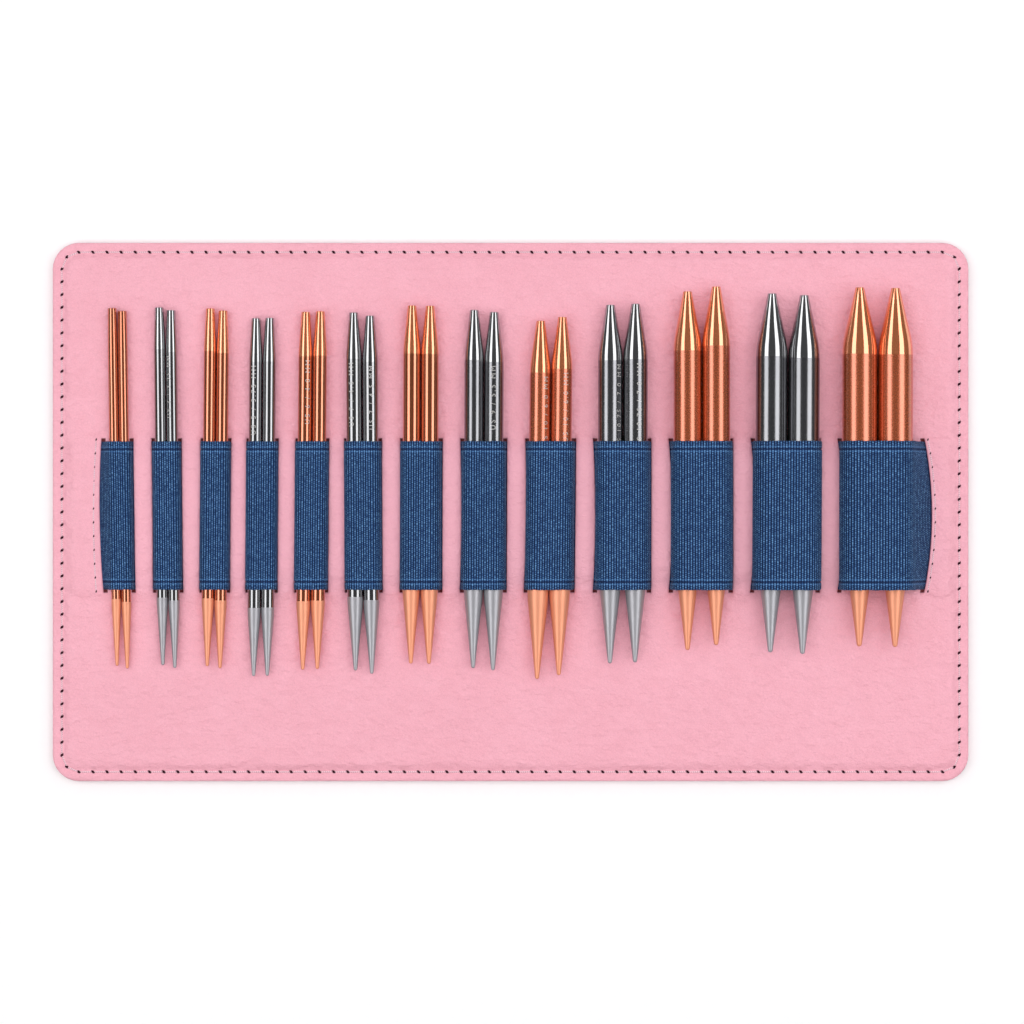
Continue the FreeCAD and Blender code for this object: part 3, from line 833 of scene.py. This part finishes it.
def elastic_band():
    line = elastic_line()
    steps = np.hypot(np.diff(line[:, 0]), np.diff(line[:, 1]))
    keep = np.concatenate([[True], steps > 1e-4])
    line = line[keep]
    steps = np.hypot(np.diff(line[:, 0]), np.diff(line[:, 1]))
    ribs = np.concatenate([[0.0], np.cumsum(steps / line[1:, 5])])
    tangent = np.gradient(line[:, :2], axis=0)
    tangent /= np.linalg.norm(tangent, axis=1)[:, None]
    normal = np.column_stack([-tangent[:, 1], tangent[:, 0]])

    # Section across the band: (y from its centre, height above the centre line, share of the ribs).
    groove = BAND_HALF - SELVEDGE
    half = ELASTIC / 2 - 0.05
    edge = [(-BAND_HALF, 0.0, 0.0), (-BAND_HALF + 0.08, 0.75 * half, 0.2), (-BAND_HALF + 0.3, half, 0.5),
            (-BAND_HALF + 1.2, half + 0.03, 0.5), (-groove - 0.3, half, 0.4), (-groove, half - 0.2, 0.1),
            (-groove + 0.3, half, 0.9)]
    across = edge + [(y, half, 1.0) for y in np.linspace(-groove + 1.0, groove - 1.0, 12)]
    across += [(-y, h, share) for y, h, share in reversed(edge)]
    across += [(BAND_HALF - 0.3, -half, 0.0), (0.0, -half, 0.0), (-BAND_HALF + 0.3, -half, 0.0)]

    points, weave = [], []
    wave = 0.09 * np.cos(ribs * math.tau)
    wander = 1 + np.sin(ribs * 0.83) * np.sin(ribs * 0.29 + 1.0)
    ragged = 0.1 * np.abs(np.sin(ribs * math.pi)) + 0.06 * wander
    for y, h, share in across:
        out = h + wave * share
        x = line[:, 0] + normal[:, 0] * out - np.tan(line[:, 2]) * y + line[:, 3] * bowed(BAND_Y + y)
        z = line[:, 1] + normal[:, 1] * out + line[:, 4] * lifted(BAND_Y + y)
        x, z = off_the_tips(x, y, z, out)
        pulled_in = ragged * math.copysign(1, y) * (abs(y) > BAND_HALF - 0.2)
        points.append(np.column_stack([x, BAND_Y + y - pulled_in, z]))
        weave.append(np.column_stack([ribs, np.full(len(x), y)]))
    count = len(line)
    faces = grid_faces(len(across), count)
    last = (len(across) - 1) * count
    faces += [(last + i, last + i + 1, i + 1, i) for i in range(count - 1)]
    faces += [tuple(j * count for j in range(len(across)))]
    faces += [tuple(j * count + count - 1 for j in reversed(range(len(across))))]
    made = mesh_object("elastic_webbing", np.concatenate(points), faces, [ELASTIC_CLOTH])
    made.data.flip_normals()
    store_weave(made, np.concatenate(weave))
    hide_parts("elastic_band")
    return made, float(steps.sum())


# ---------------------------------------------------------------- needle tips

def cord_taper(size):
    return 8.5 + 1.05 * size


def point_taper(size):
    return 18.0 + 2.5 * max(size - 4.0, 0.0)


def point_radius(size):
    return 0.35 + 0.04 * size


def rounded_corner(before, corner, after, reach, count=6):
    """Points on a smooth bend that starts and ends reach away from the corner."""
    start = corner + (before - corner).normalized() * reach
    end = corner + (after - corner).normalized() * reach
    places = []
    for k in range(count + 1):
        t = k / count
        places.append(start * (1 - t) ** 2 + corner * 2 * t * (1 - t) + end * t * t)
    return places


def tip_outline(size):
    """(distance from the cord end, radius, zone) down the tip; zones index the materials."""
    polished, satin, matte, socket = range(4)
    r, end_r, nose_r = size / 2, CORD_END_D / 2, point_radius(size)
    taper, shaft_end = cord_taper(size), TIP_LENGTH - point_taper(size)
    outline = [(SOCKET_DEPTH, 0.0, socket), (SOCKET_DEPTH, SOCKET_R * 0.8, socket)]
    turns = int((SOCKET_DEPTH - 0.8) / THREAD_PITCH)
    for k in range(turns):
        depth = SOCKET_DEPTH - 0.2 - k * THREAD_PITCH
        outline += [(depth, SOCKET_R, socket), (depth - THREAD_PITCH / 2, SOCKET_R - THREAD_DEPTH, socket)]
    outline += [(0.35, SOCKET_R, socket), (0.0, SOCKET_R + 0.12, polished)]
    third = CORD_END_EDGE / 3
    outline += [(0.0, end_r - CORD_END_EDGE, polished), (third, end_r - third, polished)]
    outline += [(CORD_END_EDGE, end_r, polished)]
    cone_end = Vector((CORD_END_EDGE, end_r))
    shoulder = Vector((taper - SHOULDER_REACH * size, r))
    hip = Vector((shaft_end, r))
    slope = math.atan2(r - nose_r, point_taper(size) - nose_r)
    nose = Vector((TIP_LENGTH - nose_r + nose_r * math.sin(slope), nose_r * math.cos(slope)))
    bend = rounded_corner(cone_end, shoulder, hip, SHOULDER_REACH * size)
    outline += [(p.x, p.y, polished) for p in bend]
    seam = bend[-1].x + 0.12
    outline += [(seam, r, satin)]
    bend = rounded_corner(shoulder, hip, nose, HIP_REACH * size)
    outline += [(seam + (bend[0].x - seam) * k / 6, r, satin) for k in range(1, 6)]
    outline += [(p.x, p.y, satin if k == 0 else matte) for k, p in enumerate(bend)]
    for k in range(1, 5):
        place = bend[-1].lerp(nose, k / 5)
        outline.append((place.x, place.y, matte))
    for k in range(7):
        angle = slope + (math.pi / 2 - slope) * k / 6
        outline.append((TIP_LENGTH - nose_r + nose_r * math.sin(angle), nose_r * math.cos(angle), matte))
    return outline


def needle_tip(tip, finish, sides=56):
    size = tip["size"]
    outline = tip_outline(size)
    points, zones = [], []
    for distance, radius, zone in outline:
        round_r = max(radius, 1e-3)
        for k in range(sides):
            angle = math.tau * k / sides
            points.append((round_r * math.cos(angle), -distance, round_r * math.sin(angle)))
    for distance, radius, zone in outline[1:]:
        zones += [zone] * sides
    faces = grid_faces(len(outline), sides, wrap=True)
    shaft = finish["thin"] if size < THIN else finish["satin"]
    cone = finish["thin"] if size < THINNEST else finish["polished"]
    materials = [cone, shaft, finish["matte"], SOCKET]
    body = "tip_" + tip["label"]
    made = mesh_object("needle_" + tip["label"], points, faces, materials, zones, body)
    made.data.flip_normals()
    made.matrix_world = Matrix.Translation(tip["place"] * MM) @ Matrix.Rotation(tip["lean"], 4, "Z")
    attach(made, body)
    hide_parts("needle_tip_" + tip["label"])


# ---------------------------------------------------------------- size marks

# How far each tip has rolled in its loop, in degrees, so that its mark shows on top or not.
TOP_MARKS = {
    "3_25mm_right": 30, "3_75mm_left": 15, "4mm_left": -24, "4_5mm_left": 20, "4_5mm_right": -10,
    "5_5mm_right": 5, "6mm_left": -33, "6mm_right": -23, "7mm_left": -44, "7mm_right": -16,
}
HIDDEN_ROLL = 140
US_SIZES = {
    2.75: "2", 3.25: "3", 3.5: "4", 3.75: "5", 4: "6", 4.5: "7", 5: "8", 5.5: "9", 6: "10", 7: "10.75",
    8: "11", 9: "13", 10: "15",
}
MARK_LIFT = 0.012           # the print stands this far off the shaft
MARK_SLICES = 6             # the letters are cut lengthways, so that they bend round the shaft


def flat_text(words, height):
    """Outline of the words as a flat mesh, height tall, from its left end."""
    curve = bpy.data.curves.new("words", "FONT")
    curve.body = words
    curve.size = height / 0.7
    curve.space_character = 1.5
    curve.offset = -0.012 * height
    curve.resolution_u = 3
    holder = bpy.data.objects.new("words", curve)
    bpy.context.scene.collection.objects.link(holder)
    bpy.context.view_layer.update()
    mesh = bpy.data.meshes.new_from_object(holder.evaluated_get(bpy.context.evaluated_depsgraph_get()))
    bpy.data.objects.remove(holder)
    bpy.data.curves.remove(curve)
    return mesh


def size_mark(tip):
    """The tip's size, printed along its shaft just below the polished end."""
    size = tip["size"]
    radius = size / 2 + MARK_LIFT
    height = min(0.4 * size, 1.45)
    metric = f"{size:g}" if size % 1 else f"{size:.1f}"
    mesh = flat_text(f"US {US_SIZES[size]} / {metric} MM", height)
    shape = bmesh.new()
    shape.from_mesh(mesh)
    for k in range(1, MARK_SLICES):
        everything = shape.verts[:] + shape.edges[:] + shape.faces[:]
        cut_at = (0, height * k / MARK_SLICES, 0)
        bmesh.ops.bisect_plane(shape, geom=everything, plane_co=cut_at, plane_no=(0, 1, 0))
    length = max(v.co.x for v in shape.verts)
    start = -(cord_taper(size) + 1.2 + length)
    roll = math.radians(TOP_MARKS.get(tip["label"], HIDDEN_ROLL))
    for v in shape.verts:
        angle = roll + (v.co.y - height / 2) / radius
        v.co = Vector((-radius * math.sin(angle), start + v.co.x, radius * math.cos(angle))) * MM
    for face in shape.faces:
        face.smooth = True
    shape.to_mesh(mesh)
    shape.free()
    mesh.materials.clear()
    mesh.materials.append(MARK)
    made = bpy.data.objects.new("size_mark_" + tip["label"], mesh)
    bpy.context.scene.collection.objects.link(made)
    made.matrix_world = Matrix.Translation(tip["place"] * MM) @ Matrix.Rotation(tip["lean"], 4, "Z")
    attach(made, "tip_" + tip["label"])


# ---------------------------------------------------------------- studio

def softbox(name, place, turn, size, energy):
    lamp = bpy.data.lights.new(name, "AREA")
    lamp.shape = "RECTANGLE"
    lamp.size, lamp.size_y = size
    lamp.energy = energy
    made = bpy.data.objects.new(name, lamp)
    made.location = place
    made.rotation_euler = turn
    bpy.context.scene.collection.objects.link(made)
    return made


def studio():
    floor = bpy.data.meshes.new("floor")
    reach = 3.0
    corners = [(-reach, -reach, 0), (reach, -reach, 0), (reach, reach, 0), (-reach, reach, 0)]
    floor.from_pydata(corners, [], [(0, 1, 2, 3)])
    ground = bpy.data.objects.new("floor", floor)
    ground.location.z = -0.0002
    bpy.context.scene.collection.objects.link(ground)
    paper = Shader("floor_paper")
    grain = paper.noise(paper.place(), 400.0, 3.0)
    white = paper.ramp(grain, [(0.3, (0.955, 0.955, 0.96)), (0.7, (0.97, 0.97, 0.97))])
    paper.feed(paper.main, "Base Color", white)
    paper.set(Roughness=0.9)
    floor.materials.append(paper.material)

    # The side softboxes draw the two bright lines along every tip; the fills stay out of the metal.
    for side in (-1, 1):
        turn = (0, side * math.radians(41), 0)
        strip = softbox("side_softbox", (side * 0.65, 0.0, 0.75), turn, (0.50, 1.9), 8.8)
        strip.visible_diffuse = False
        turn = (0, side * math.radians(51), 0)
        fill = softbox("side_fill", (side * 0.8, 0.0, 0.65), turn, (0.5, 1.6), 2.6)
        fill.visible_glossy = False
    softbox("far_softbox", (0.0, 1.0, 0.7), (math.radians(-55), 0, 0), (1.4, 0.4), 2.0)
    # A broad ceiling softbox fills the gaps between the tips; it stays out of the metal's reflections.
    ceiling = softbox("ceiling_softbox", (0.0, 0.0, 1.5), (0, 0, 0), (2.2, 1.4), 22.3)
    ceiling.visible_glossy = False

    world = bpy.data.worlds.new("studio")
    world.use_nodes = True
    world.node_tree.nodes["Background"].inputs["Color"].default_value = (0.97, 0.98, 1.0, 1)
    world.node_tree.nodes["Background"].inputs["Strength"].default_value = 0.1
    bpy.context.scene.world = world
    bpy.context.scene.view_settings.view_transform = "Standard"


def camera():
    """Straight above the board, square to it."""
    view = bpy.data.cameras.new("camera")
    distance, width_seen = 0.9, 0.2926
    view.sensor_width = 36.0
    view.lens = view.sensor_width * distance / width_seen
    made = bpy.data.objects.new("camera", view)
    made.location = (0.0004, 0.0, distance + Z_TOP * MM)
    bpy.context.scene.collection.objects.link(made)
    bpy.context.scene.camera = made


# ---------------------------------------------------------------- scene

front_cover()
back_cover()
edge_stitching()
band_stitching()
webbing, webbing_length = elastic_band()
for number, tip in enumerate(TIPS):
    needle_tip(tip, FINISHES[number // 2 % 2])
    size_mark(tip)
for name, material in (("stiffener_board", CARD), ("foam_padding", FOAM_CELLS)):
    node = frame["nodes"][name]
    node.data.materials.clear()
    node.data.materials.append(material)
studio()
camera()
